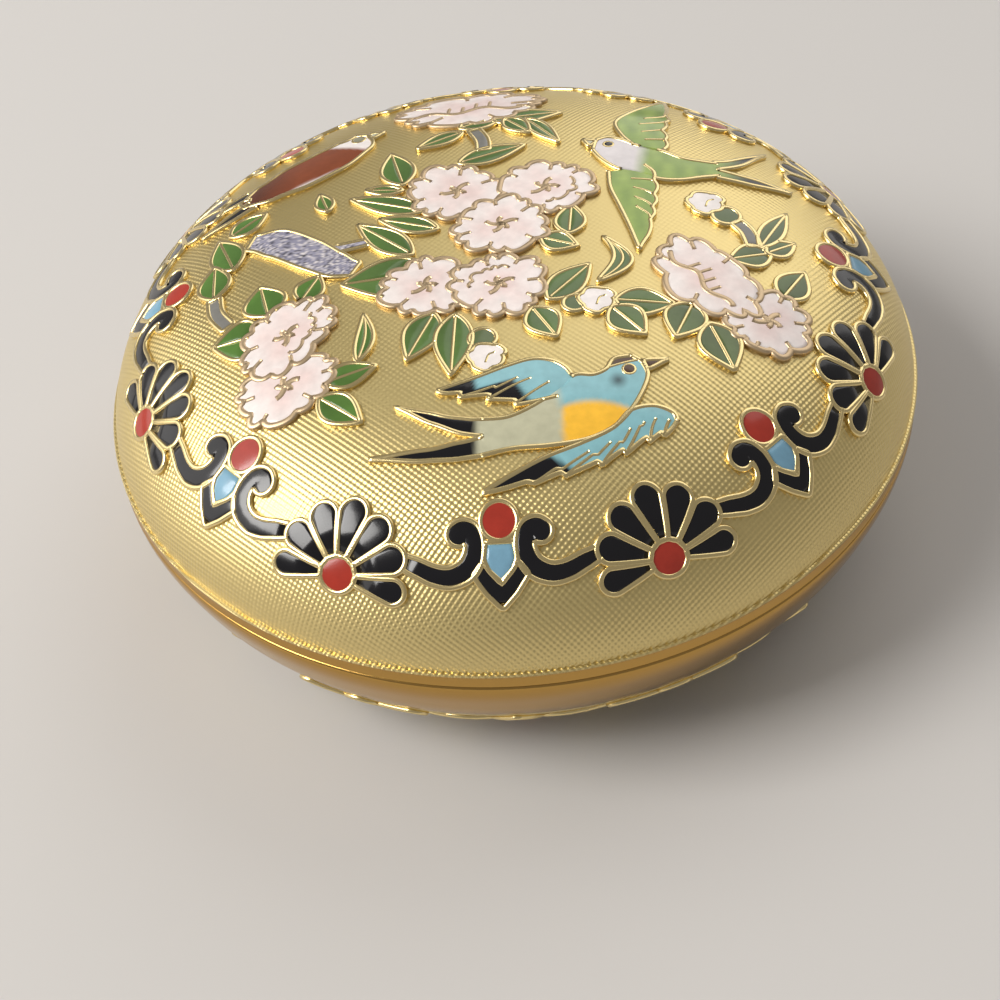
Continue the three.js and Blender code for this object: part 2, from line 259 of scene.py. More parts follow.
def ribbon(right, left):
    """A figure between two edges: u runs along both from 0 to 1, and v across from right (-1) to left (1)."""
    edges = [np.asarray(side, float) for side in (right, left)]

    def place(u, v):
        share = np.clip(u, 0, 1)
        ends = []
        for side in edges:
            at = np.linspace(0, 1, len(side))
            ends.append(np.stack([np.interp(share, at, side[:, k]) for k in (0, 1)], axis=-1))
        weight = (np.asarray(v)[..., None] + 1) / 2
        return ends[0] * (1 - weight) + ends[1] * weight

    return place


def along_edge(place, first, last, side, count=EDGE_POINTS):
    """Points along a ribbon from one value of u to another, at one value of v."""
    return place(np.linspace(first, last, count), np.full(count, float(side)))


def eased(values, count):
    """Values at even steps along a path, eased from one to the next by t^2 * (3 - 2 * t)."""
    values = np.asarray(values, float)
    place = np.linspace(0, len(values) - 1, count)
    k = np.minimum(place.astype(int), len(values) - 2)
    t = place - k
    t = t * t * (3 - 2 * t)
    return values[k] * (1 - t) + values[k + 1] * t


def stroke(path, half, count=60):
    """A ribbon of changing half width along a smooth path."""
    middle = spline(path, count)
    along = np.gradient(middle, axis=0)
    along /= np.linalg.norm(along, axis=1, keepdims=True)
    normal = np.stack([-along[:, 1], along[:, 0]], axis=1)
    width = eased(half, count)[:, None]
    return ribbon(middle - normal * width, middle + normal * width)


def blade(start, end, half, bow=0.0, count=40):
    """A leaf from stalk to tip, half width times the sine of pi * u^taper, its middle bowed to the left."""
    start = np.asarray(start, float)
    along = np.asarray(end, float) - start
    across = np.array([-along[1], along[0]]) / np.linalg.norm(along)
    u = np.linspace(0, 1, count)[:, None]
    middle = start + along * u + across * bow * np.sin(np.pi * u)
    width = half * np.sin(np.pi * u**LEAF_TAPER)
    return ribbon(middle - across * width, middle + across * width)


def petal(centre, turn, spread, root, reach):
    """A petal pointing away from a centre: a wedge as wide as its share of the turn, closed by a half circle.

    Half width is distance * slope out to the shoulder at reach / (1 + slope), where the half circle begins.
    """
    slope = math.tan(math.radians(spread / 2))
    shoulder = reach / (1 + slope)
    bend = np.sin(np.linspace(0, np.pi / 2, 48))
    straight = np.linspace(root, shoulder, 12)[:-1]
    out = np.concatenate([straight, shoulder + (reach - shoulder) * bend])
    width = np.concatenate([straight, shoulder * np.sqrt(1 - bend**2)]) * slope
    angle = math.radians(turn)
    along = np.array([math.sin(angle), math.cos(angle)])
    across = np.array([-along[1], along[0]])
    middle = np.asarray(centre) + out[:, None] * along
    return ribbon(middle - width[:, None] * across, middle + width[:, None] * across)


def circle(centre, radius, count=32):
    """Points round a circle."""
    angle = np.linspace(0, 2 * np.pi, count, endpoint=False)
    return np.asarray(centre) + radius * np.stack([np.cos(angle), np.sin(angle)], axis=1)


def ellipse_axes(turn):
    """The long and the wide axis of an ellipse turned by an angle in degrees, as two rows."""
    spin = math.radians(turn)
    return np.array([[math.cos(spin), math.sin(spin)], [-math.sin(spin), math.cos(spin)]])


def frilled(x, y, long, wide, turn, frills, share=1.0, start=0.0, sweep=360.0, phase=0.0):
    """Points along a frilled ellipse: radius share * (0.86 + 0.2 * |sin(frills * angle / 2)|^0.6).

    Slow sines added to the radius and the angle make the frills uneven.
    """
    whole = sweep >= 360
    count = int(14 * frills * sweep / 360) + 2
    angle = np.radians(start) + np.radians(sweep) * np.linspace(0, 1, count, endpoint=not whole)
    uneven = 1 + 0.05 * np.sin(3 * angle + 2 * phase) + 0.03 * np.sin(7 * angle + phase)
    waved = angle + 0.12 * np.sin(2 * angle + phase) + 0.08 * np.sin(5 * angle - phase)
    swell = share * uneven * (0.86 + 0.2 * np.abs(np.sin(frills * waved / 2 + phase)) ** 0.6)
    flat = np.stack([long * swell * np.cos(angle), wide * swell * np.sin(angle)], axis=1)
    return np.array([x, y]) + flat @ ellipse_axes(turn)


def distance_along(path):
    """Distance from the start of a path to each of its points."""
    return np.concatenate([[0], np.cumsum(np.linalg.norm(np.diff(path, axis=0), axis=1))])


def resampled(path, step, closed):
    """The path at even steps along its length."""
    path = np.asarray(path, float)
    if closed:
        path = np.concatenate([path, path[:1]])
    run = distance_along(path)
    count = max(int(round(run[-1] / step)), 4) + 1
    at = np.linspace(0, run[-1], count)
    even = np.stack([np.interp(at, run, path[:, k]) for k in (0, 1)], axis=1)
    return even[:-1] if closed else even


def mix(first, second, weight):
    """A blend of two colours by an array of weights."""
    weight = np.clip(np.asarray(weight, float), 0, 1)[..., None]
    return np.asarray(first, float) * (1 - weight) + np.asarray(second, float) * weight


class Drawing:
    """Grids of flat points with a lift and a colour at each, gathered into one set of faces."""

    def __init__(self):
        self.flat = []
        self.lift = []
        self.tint = []
        self.faces = []
        self.count = 0

    def add(self, flat, lift, tint, faces):
        """Adds points and the faces between them."""
        points = flat.reshape(-1, 2)
        self.flat.append(points)
        self.lift.append(np.broadcast_to(lift, flat.shape[:-1]).reshape(-1))
        self.tint.append(np.broadcast_to(tint, flat.shape[:-1] + (3,)).reshape(-1, 3))
        self.faces.extend((np.asarray(face) + self.count).tolist() for face in faces)
        self.count += len(points)

    def laid(self, ground):
        """The points laid on a ground, with their colours and faces."""
        points = ground(np.concatenate(self.flat), np.concatenate(self.lift))
        return points, np.concatenate(self.tint), self.faces


def grid_faces(rows, columns, wrap_rows=False, wrap_columns=False):
    """Quads of a grid of points, optionally closed along either direction."""
    i = np.arange(rows if wrap_rows else rows - 1)
    j = np.arange(columns if wrap_columns else columns - 1)
    i, j = np.meshgrid(i, j, indexing="ij")
    down = (i + 1) % rows
    over = (j + 1) % columns
    corners = [i * columns + j, down * columns + j, down * columns + over, i * columns + over]
    return np.stack(corners, axis=-1).reshape(-1, 4)


class Pen:
    """Draws enamel cells and the wires round them, with the sizes from the property groups."""

    def __init__(self, metal, enamel):
        self.cells = Drawing()
        self.wires = Drawing()
        self.dull_and_shaded_wires = Drawing()
        self.wire_width = metal.wire_width / MM
        self.vein_width = metal.vein_width / MM
        self.wire_height = metal.wire_height / MM
        self.level = enamel.level / MM
        self.crown = enamel.crown / MM
        self.tint = {name: np.array(getattr(enamel, name)) for name in BoxEnamel.__annotations__}

    def wire(self, path, closed=False, fine=False, raised=0.0, thick=1.0, dull=False):
        """A wire along a flat path: a flat-topped ridge, six points across, with its foot sunk."""
        width = thick * (self.vein_width if fine else self.wire_width)
        line = resampled(path, WIRE_STEP, closed)
        if closed:
            along = np.roll(line, -1, axis=0) - np.roll(line, 1, axis=0)
        else:
            along = np.gradient(line, axis=0)
        along /= np.maximum(np.linalg.norm(along, axis=1, keepdims=True), 1e-9)
        normal = np.stack([-along[:, 1], along[:, 0]], axis=1)
        across = WIRE_ACROSS * width
        count = len(across)
        top = self.wire_height * (FINE_HEIGHT if fine else 1) + raised
        rise = np.array([SUNK, WIRE_SHOULDER * top, top, top, WIRE_SHOULDER * top, SUNK])
        flat = line[:, None] + normal[:, None] * across[None, :, None]
        faces = grid_faces(len(line), count, wrap_rows=closed, wrap_columns=True)[:, ::-1]
        ends = [] if closed else [np.arange(count), np.arange(count)[::-1] + count * (len(line) - 1)]
        drawing = self.dull_and_shaded_wires if dull else self.wires
        drawing.add(flat, rise[None, :], np.ones(3), [*faces, *ends])

    def cell(self, place, tint, v=(-1, 1), wired=True, raised=0.0, columns=6, covered=None):
        """A cell of enamel along a ribbon, slightly crowned, with its edges tucked down under the wires.

        Lift is level + crown * (1 - across^2) * (1 - along^4), with both measured from the cell's middle.
        The colour is one for the whole cell, or a function of u and v over the ribbon.
        """
        ends = place(np.array([0, 0.75, 1]), np.zeros(3))
        span = np.linalg.norm(np.diff(ends, axis=0), axis=1).sum()
        rows = int(np.clip(span * columns / CELL_LENGTH, *CELL_ROWS))
        along = np.concatenate([[-1], np.linspace(-NEAR_END, NEAR_END, rows), [1]])
        across = np.concatenate([[-1], np.linspace(-NEAR_SIDE, NEAR_SIDE, columns), [1]])
        s, t = np.meshgrid(along, across, indexing="ij")
        uu = (s + 1) / 2
        vv = v[0] + (v[1] - v[0]) * (t + 1) / 2
        rise = raised(uu) if callable(raised) else raised
        lift = self.level + rise + self.crown * (1 - t**2) * (1 - s**4)
        edge = (np.abs(s) >= 1) | (np.abs(t) >= 1)
        lift = np.where(edge, SUNK, lift)
        colours = tint(uu, vv) if callable(tint) else tint
        flat = place(uu, vv)
        if covered is not None:
            lift = np.where(covered(flat.reshape(-1, 2)).reshape(lift.shape), SUNK, lift)
        middle = flat[len(along) // 2]
        run, cross = flat[-2, 3] - flat[1, 3], middle[-1] - middle[0]
        faces = grid_faces(len(along), len(across))
        turned_over = run[0] * cross[1] - run[1] * cross[0] < 0
        self.cells.add(flat, lift, colours, faces[:, ::-1] if turned_over else faces)
        if wired:
            first, back = along_edge(place, 0, 1, v[0]), along_edge(place, 0, 1, v[1])[::-1]
            cross = v[0] + (v[1] - v[0]) * np.linspace(0, 1, EDGE_POINTS)
            end, start = place(np.ones(EDGE_POINTS), cross), place(np.zeros(EDGE_POINTS), cross[::-1])
            self.wire(np.concatenate([first[:-1], end[:-1], back[:-1], start[:-1]]), closed=True)

    def fan(self, centre, outline, tint, wired=True, fine=False, bulge=1.0, raised=0.0):
        """A cell of enamel round a centre: rings shrink from the outline to a point.

        Lift is level + crown * bulge * (1 - share^2), where share runs from 0 in the centre to 1 outside.
        The colour is one for the whole cell, or a function of the share and the flat points.
        """
        outline = np.asarray(outline, float)
        centre = np.asarray(centre, float)
        share = FAN_RINGS
        rings = centre + share[:, None, None] * (outline - centre)[None]
        lift = self.level + raised + self.crown * bulge * (1 - share**2)
        lift[0] = SUNK
        count = len(outline)
        flat = np.concatenate([rings.reshape(-1, 2), centre[None]])
        lifts = np.concatenate([np.repeat(lift, count), [self.level + raised + self.crown * bulge]])
        colours = tint(np.concatenate([np.repeat(share, count), [0]]), flat) if callable(tint) else tint
        last = (len(share) - 1) * count
        around = np.arange(count)
        cap = np.stack([last + around, last + (around + 1) % count, np.full(count, len(flat) - 1)], axis=1)
        faces = grid_faces(len(share), count, wrap_columns=True)[:, ::-1]
        self.cells.add(flat, lifts, colours, [*faces, *cap])
        if wired:
            self.wire(outline, True, fine)

    def disc(self, x, y, radius, tint, fine=False, raised=0.0):
        """A round cell."""
        self.fan((x, y), circle((x, y), radius), tint, fine=fine, raised=raised)


# The garland


def draw_scroll(pen, path, half, tint):
    """A curled stroke begun by a half circle; its wire is left out where the curl closes on itself."""
    middle = spline(path, SCROLL_POINTS)
    width = eased(half, SCROLL_POINTS)
    body = stroke(path, half, SCROLL_POINTS)
    back = middle[0] - middle[1]
    back /= np.linalg.norm(back)
    bend = np.linspace(0, np.pi / 2, 40, endpoint=False)[:, None]
    round_middle = middle[0] + back * width[0] * np.cos(bend)
    round_half = np.array([back[1], -back[0]]) * width[0] * np.sin(bend)
    right = np.concatenate([round_middle - round_half, along_edge(body, 0, 1, -1, SCROLL_POINTS)])
    left = np.concatenate([round_middle + round_half, along_edge(body, 0, 1, 1, SCROLL_POINTS)])
    pen.cell(ribbon(right, left), tint, wired=False)
    outline = np.concatenate([right[::-1], left[1:]])
    apart = np.linalg.norm(outline[:, None] - middle[None], axis=2) - width
    for run in runs(outline, apart.min(axis=1) > -SCROLL_TOUCH, False):
        pen.wire(run)


def draw_pendant(pen):
    """A hanging pendant: a disc, a kite, a chevron under it and a scroll on either side."""
    tint = pen.tint
    pen.disc(0, 16.2, 1.92, tint["red"])
    kite = [(1.4, 14.2), (1.6, 12.6), (1.15, 11.6), (0, 10.5)]
    pen.cell(ribbon([(-x, y) for x, y in kite], kite), tint["blue"])
    outer = [(-1.75, 12.3), (-2.6, 11.1), (-1.4, 9.4), (0, 7.9), (1.4, 9.4), (2.6, 11.1), (1.75, 12.3)]
    inner = [(-1.55, 12.2), (-1.05, 11.5), (-0.5, 10.9), (0, 10.3), (0.5, 10.9), (1.05, 11.5), (1.55, 12.2)]
    pen.cell(ribbon(outer, inner), tint["black"])
    path = [
        (4.1, 14.95), (3.7, 15.25), (3.0, 15.2), (2.55, 14.5), (2.45, 13.5), (2.7, 12.4), (3.4, 11.5),
        (4.7, 10.9), (6.2, 11), (7.7, 11.5), (9.3, 11.97),
    ]
    half = [1.22, 1.15, 1.0, 0.92, 0.92, 0.98, 1.0, 0.96, 0.9, 0.84, 0.7]
    for side in (-1, 1):
        draw_scroll(pen, [(side * x, y) for x, y in path], half, tint["black"])


def draw_palmette(pen):
    """A palmette: a disc with petals fanned round it, every 32 degrees, the outermost slimmer."""
    tint = pen.tint
    centre = (0, 9.6)
    for k in range(-3, 4):
        spread = OUTER_SPREAD if abs(k) == 3 else PETAL_SPREAD
        pen.cell(petal(centre, PETAL_TURN * k, spread, 1.7, 7.4 - 0.26 * abs(k)), tint["black"])
    pen.disc(*centre, 1.75, tint["red"])


def draw_garland(metal, enamel, dome):
    """Points, colours and faces of a whole garland: cells and wires, the unit repeated round the rim."""
    laid = {"cells": [], "wires": []}
    for draw, share in ((draw_pendant, 0.0), (draw_palmette, 0.5)):
        pen = Pen(metal, enamel)
        draw(pen)
        for i in range(UNITS):
            ground = dome.from_strip(2 * math.pi * (i + share) / UNITS)
            laid["cells"].append(pen.cells.laid(ground))
            laid["wires"].append(pen.wires.laid(ground))
    return laid


# The picture on the crown

# Stalk, tip, half width and bow of each leaf
LEAVES = [
    (-23.9, -8.2, -25.2, -3.5, 2.3, 0), (-20.5, -6.8, -18.8, -3.1, 1.6, 0),
    (-24.2, -10.8, -29.6, -11.0, 2.7, 0), (-14.0, -16.6, -13.7, -9.8, 0.9, -0.5),
    (-17.2, -18.9, -12.0, -17.3, 1.5, 0), (-17.6, -20.6, -13.2, -24.2, 1.7, 0),
    (-6.4, -10.6, -9.0, -17.0, 1.9, 0), (-4.2, -10.9, -4.5, -19.5, 1.9, 0), (3.6, -10.6, 6.0, -15.0, 1.8, 0),
    (5.2, -9.4, 9.7, -4.2, 1.8, 0), (10.4, -7.0, 11.2, 0.2, 1.0, -2.3), (12.0, -10.0, 18.0, -10.8, 1.9, 0),
    (11.6, -11.0, 14.8, -15.0, 1.9, 0), (19.8, -10.6, 17.7, -15.4, 2.1, 0),
    (21.2, -13.4, 23.2, -19.2, 2.1, 0),
    (28.5, -2.3, 24.0, -3.8, 1.7, 0), (28.1, -2.3, 31.3, 0.0, 1.2, 0), (29.0, -8.9, 31.8, -4.4, 1.7, 0),
    (27.5, -1.5, 31.0, 5.2, 1.2, 0), (7.6, 1.0, 8.0, 6.0, 1.6, 0), (4.6, 0.6, 8.5, -1.1, 1.5, 0),
    (-4.6, 22.6, 0.8, 25.2, 1.5, 0), (-1.0, 24.0, 7.2, 25.2, 1.6, 0), (3.0, 24.0, 6.9, 18.2, 1.1, 0),
    (0.6, 24.2, 3.6, 20.6, 1.3, 0), (-4.2, 21.6, -9.4, 18.8, 1.1, 0), (-4.5, 15.0, 3.0, 17.9, 1.5, 0),
    (-10.6, 11.6, -12.3, 18.2, 1.9, 0), (-10.6, 10.6, -14.9, 11.2, 0.8, 0), (-8.0, 6.5, -16.4, 9.8, 1.5, 0),
    (-6.4, 3.2, -13.0, 5.6, 1.3, 0), (-9.0, -0.9, -15.3, 5.0, 1.7, 0), (-6.5, -4.0, -16.4, -5.0, 3.1, 0),
    (-29.9, 7.0, -26.0, 9.9, 1.6, 0), (-28.7, 0.6, -31.2, 6.8, 1.9, 0), (-30.5, -3.5, -31.0, 2.0, 1.8, 0),
    (-18.8, 8.1, -20.0, 11.6, 1.0, 0),
]
# Middle, half length, half width, turn in degrees and frills of each blossom
BLOSSOMS = [
    (-3.6, 28.0, 8.2, 4.3, 5, 15), (-21.2, -18.4, 4.9, 3.9, 20, 12), (-21.6, -11.6, 5.6, 4.0, 55, 13),
    (-7.4, -6.2, 4.5, 4.3, 0, 12), (0.2, -6.6, 4.9, 4.6, 0, 13), (-4.6, 9.6, 5.4, 4.5, -25, 13),
    (5.2, 9.4, 5.2, 4.5, 10, 12), (0.4, 3.2, 4.9, 4.6, 0, 12), (27.2, -12.4, 4.2, 4.0, 0, 11),
    (21.5, -6.6, 6.5, 4.1, -55, 10),
]
# Middle and radius of each bud and of its cup
BUDS = [
    ((-1.0, -17.3), 1.8, (-1.4, -14.7), 1.4),
    ((10.2, -9.8), 1.8, (7.9, -10.2), 1.2),
    ((22.4, 5.8), 1.9, (24.4, 3.6), 1.5),
]
STEMS = [
    [(-2.9, 21.9), (-1.9, 19.5), (-1.7, 17.3)],
    [(25.4, 2.6), (26.4, 1.0), (26.9, -1.4)],
    [(-30.4, -3.6), (-29.8, -6.2), (-28.2, -8.6)],
]


def in_blossom(flat, x, y, long, wide, turn, _):
    """Which points lie inside a blossom, taken as an ellipse."""
    offset = flat - np.array([x, y])
    along, across = (offset @ axis for axis in ellipse_axes(turn))
    return (along / long) ** 2 + (across / wide) ** 2 < UNDER_BLOSSOM


def in_leaf(flat, x0, y0, x1, y1, half, bow):
    """Which points lie inside a leaf."""
    along = np.array([x1 - x0, y1 - y0])
    size = np.linalg.norm(along)
    along /= size
    offset = flat - np.array([x0, y0])
    u = offset @ along / size
    across = offset @ np.array([-along[1], along[0]]) - bow * np.sin(np.pi * u)
    width = half * np.sin(np.pi * np.clip(u, 0, 1) ** LEAF_TAPER)
    return (u > 0) & (u < 1) & (np.abs(across) < UNDER_LEAF * width)


def covering(blossoms, leaves=()):
    """A test for points under any of some blossoms and leaves."""

    def test(flat):
        flat = np.asarray(flat, float)
        found = np.zeros(len(flat), bool)
        for blossom in blossoms:
            found |= in_blossom(flat, *blossom)
        for leaf in leaves:
            found |= in_leaf(flat, *leaf)
        return found

    return test


def runs(path, kept, closed=True):
    """The stretches of a path that are kept, each as its own open path."""
    if kept.all():
        return [path]
    if closed:
        start = int(np.argmin(kept))
        path = np.roll(path, -start, axis=0)
        kept = np.roll(kept, -start)
    edges = np.flatnonzero(np.diff(np.concatenate([[0], kept.astype(int), [0]])))
    return [path[first:last] for first, last in edges.reshape(-1, 2) if last - first > 3]


def leaf_tint(base, shade):
    """The colour of half a leaf, paler from the stalk to the tip."""

    def tint(u, _):
        return base * (shade * (0.85 + 0.35 * u))[..., None]

    return tint


def draw_shown(pen, outline, kept, **looks):
    """A wire along the parts of a closed outline that are kept."""
    for path in runs(outline, kept):
        pen.wire(path, closed=len(path) == len(outline), **looks)


def draw_leaves(pen):
    """Leaves in two halves along a vein, greener on the left of the lid and greyer on the right.

    A leaf lies under the blossoms and under the leaves drawn after it.
    """
    for index, (x0, y0, x1, y1, half, bow) in enumerate(LEAVES):
        place = blade((x0, y0), (x1, y1), half, bow)
        covered = covering(BLOSSOMS, LEAVES[index + 1:])
        base = mix(pen.tint["leaf"], pen.tint["shade"], (x0 + 22) / 44)
        for v, shade in (((-1, 0), 1.0), ((0, 1), 1.18)):
            pen.cell(place, leaf_tint(base, shade), v=v, wired=False, covered=covered)
        outline = np.concatenate([along_edge(place, 0, 1, -1), along_edge(place, 0, 1, 1)[::-1][1:-1]])
        draw_shown(pen, outline, ~covered(outline))
        vein = along_edge(place, 0.05, 0.95, 0, 40)
        for path in runs(vein, ~covered(vein), closed=False):
            pen.wire(path, fine=True)


def draw_blossoms(pen):
    """Frilled blossoms, the later ones over the earlier, pink at the heart and white at the edge.

    A round blossom has a burst of short wires in its heart; a long one has a wavy fold along it with stamens.
    Short wires run in from every other notch of the edge.
    """
    for index, blossom in enumerate(BLOSSOMS):
        x, y, long, wide, turn, frills = blossom
        phase = 0.7 * index
        raised = BLOSSOM_STEP * index
        outline = frilled(x, y, long, wide, turn, frills, phase=phase)
        middle = np.array([x, y])
        axes = ellipse_axes(turn)
        covered = covering(BLOSSOMS[index + 1:])

        def tint(share, flat, index=index):
            streak = np.sin(1.3 * flat[:, 0] + index) * np.sin(1.1 * flat[:, 1] - index)
            return mix(pen.tint["pink"], pen.tint["white"], 0.2 + 0.75 * share + 0.2 * streak)

        pen.fan(middle, outline, tint, wired=False, bulge=0.6, raised=raised)
        # The blossom's wires take the tan gilt, whose colour holds painted shade.
        draw_shown(pen, outline, ~covered(outline), raised=raised, thick=EDGE_THICK, dull=True)
        strokes = []
        if long > 1.5 * wide:
            run = np.linspace(-0.8, 0.75, 40)
            wave = wide * (-0.22 + 0.12 * np.sin(8 * run + index))
            fold = middle + np.stack([long * run, wave], axis=1) @ axes
            stamens = [[fold[k], fold[k] + wide * np.array([0.06, 0.36]) @ axes] for k in (12, 17, 22, 27)]
            strokes = [(fold, EDGE_THICK), *((path, STAMEN_THICK) for path in stamens)]
        else:
            for k in range(5):
                outward, aside = ellipse_axes(72 * k + 23 * index)
                arm = 0.36 * wide * (0.85 + 0.3 * math.sin(2.3 * k + index)) * outward
                bent = middle + 0.6 * arm + 0.06 * wide * aside
                strokes.append((spline([middle - 0.3 * arm, bent, middle + arm], 8), HEART_THICK))
            if index % 2 == 0:
                curl = frilled(x, y, long, wide, turn, frills, 0.6, 40 + 97 * index, 120, phase)
                strokes.append((curl, CURL_THICK))
        swells = np.linalg.norm((outline - middle) @ axes.T / np.array([long, wide]), axis=1)
        notches = np.flatnonzero((swells < np.roll(swells, 1)) & (swells < np.roll(swells, -1)))
        for k in notches[index % 2::2]:
            inner = middle + (0.7 + 0.06 * (k % 3)) * (outline[k] - middle)
            strokes.append(([outline[k], inner], STAMEN_THICK))
        for path, thick in strokes:
            if not covered(path).any():
                pen.wire(path, raised=raised, thick=thick, dull=True)


def draw_stalks(pen):
    """Buds in green cups, grey stems and the mottled branch."""
    tint = pen.tint
    for bud, size, cup, cup_size in BUDS:
        ring = circle(cup, cup_size)
        pen.fan(cup, ring, tint["shade"], wired=False)
        draw_shown(pen, ring, np.linalg.norm(ring - np.array(bud), axis=1) > UNDER_BUD * size)
        pen.fan(bud, frilled(*bud, size, size, 0, 5), tint["white"], raised=0.03)
        fold = np.array(bud) + [(-0.1, -0.9), (0.2, 0.2), (0.9, 0.5)]
        pen.wire(fold, fine=True)
    for path in STEMS:
        pen.cell(stroke(path, [0.75, 0.75]), 0.5 * mix(tint["grey"], tint["lavender"], 0.5))

    chance = np.random.default_rng(5)

    def mottle(u, _):
        fleck = chance.random(u.shape)
        pale = mix(tint["lavender"], tint["white"], 2.2 * (fleck - 0.6))
        return mix(pale, tint["black"], 3.0 * (0.28 - fleck))

    twig = stroke([(-18.4, 0.9), (-16, 1.3), (-13.4, 1.9)], [0.6, 0.5])
    pen.cell(twig, mottle, wired=False, columns=10)
    for side in (-1, 1):
        draw_edge(pen, twig, 0.25, 0.9, side)
    path = [(-27.2, 4.7), (-24, 3.6), (-20.5, 1), (-17.5, -1.4), (-15.0, -2.6)]
    branch = stroke(path, [1.3, 2.2, 2.2, 1.9, 1.2])
    pen.cell(branch, mottle, columns=18)


def beyond(flat, start, end, soft=0.5):
    """How far points lie to the left of a line from start to end, from 0 to 1 over a soft edge."""
    start = np.asarray(start, float)
    along = np.asarray(end, float) - start
    along /= np.linalg.norm(along)
    offset = flat - start
    return np.clip((along[0] * offset[..., 1] - along[1] * offset[..., 0]) / soft + 0.5, 0, 1)


def between(first, second, count=160):
    """A ribbon between two smooth edges."""
    return ribbon(spline(first, count), spline(second, count))


def scalloped(passed):
    """Rounded feather ends between notches: |sin(pi * passed)|."""
    return np.abs(np.sin(np.pi * passed))


def toothed(passed):
    """Pointed feather ends, longest just before the next notch: the fraction passed, to the power 1.5."""
    return (passed % 1) ** 1.5


def painted(place, tint):
    """A colour given over flat points, as one over a ribbon's u and v."""

    def over(u, v):
        return tint(place(u, v))

    return over


def darkening(first, last, start, rate):
    """A colour over flat points, blended from one to another along x from a start."""

    def tint(flat):
        return mix(first, last, rate * (flat[..., 0] - start))

    return tint


def dipped(u):
    """The rise of a wing, whose root dips under the body it grows from."""
    return 0.08 * np.clip(4 * u, 0, 1) - 0.05


def draw_wing(pen, lead, trail, tint, notches, reach=0.25, swell=0.4, ends=scalloped, wired_from=0.0):
    """A wing between a leading and a trailing edge, root first, with a fine wire running in from each notch.

    The trailing edge swells between the notches by swell * ends(k), where k counts the notches passed, and
    comes to a point.
    """
    smooth = between(lead, trail, WING_POINTS)
    front, back = (along_edge(smooth, 0, 1, side, WING_POINTS) for side in (-1, 1))
    width = np.linalg.norm(back - front, axis=1)
    passed = np.interp(np.linspace(0, 1, WING_POINTS), [0, *notches, 1], np.arange(len(notches) + 2))
    bulge = swell * ends(passed) * np.clip(width, 0, 1)
    back = back + bulge[:, None] * (back - front) / np.maximum(width, 1e-6)[:, None]
    place = ribbon(front, back)
    pen.cell(place, painted(place, tint), wired=False, raised=dipped, columns=20)
    leading = along_edge(place, 0, 1, -1, WING_POINTS)
    pen.wire(np.concatenate([leading, along_edge(place, 1, wired_from, 1, WING_POINTS)]))
    for notch in notches:
        inward = np.linspace(notch, notch * (1 - reach), 20)
        pen.wire(place(inward, np.linspace(1, -0.05, 20)), fine=True, raised=0.03)


def draw_prongs(pen, paths, half, tint):
    """The two pointed prongs of a forked tail, the right one first as seen from the body.

    A wire crosses the fork between them.
    """
    fork = []
    for path, inner in zip(paths, (1, -1)):
        place = stroke(path, half)
        pen.cell(place, painted(place, tint), wired=False, columns=8)
        sides = [along_edge(place, PRONG_ROOT, 1, side) for side in (-1, 1)]
        pen.wire(np.concatenate([sides[0], sides[1][::-1]]))
        fork.append(place(PRONG_ROOT, inner))
    pen.wire(fork)


def draw_edge(pen, place, first, last, side):
    """A wire along part of a ribbon's edge."""
    pen.wire(along_edge(place, first, last, side))


def draw_end(pen, place):
    """A wire across the far end of a ribbon."""
    pen.wire(place(np.ones(20), np.linspace(-1, 1, 20)))


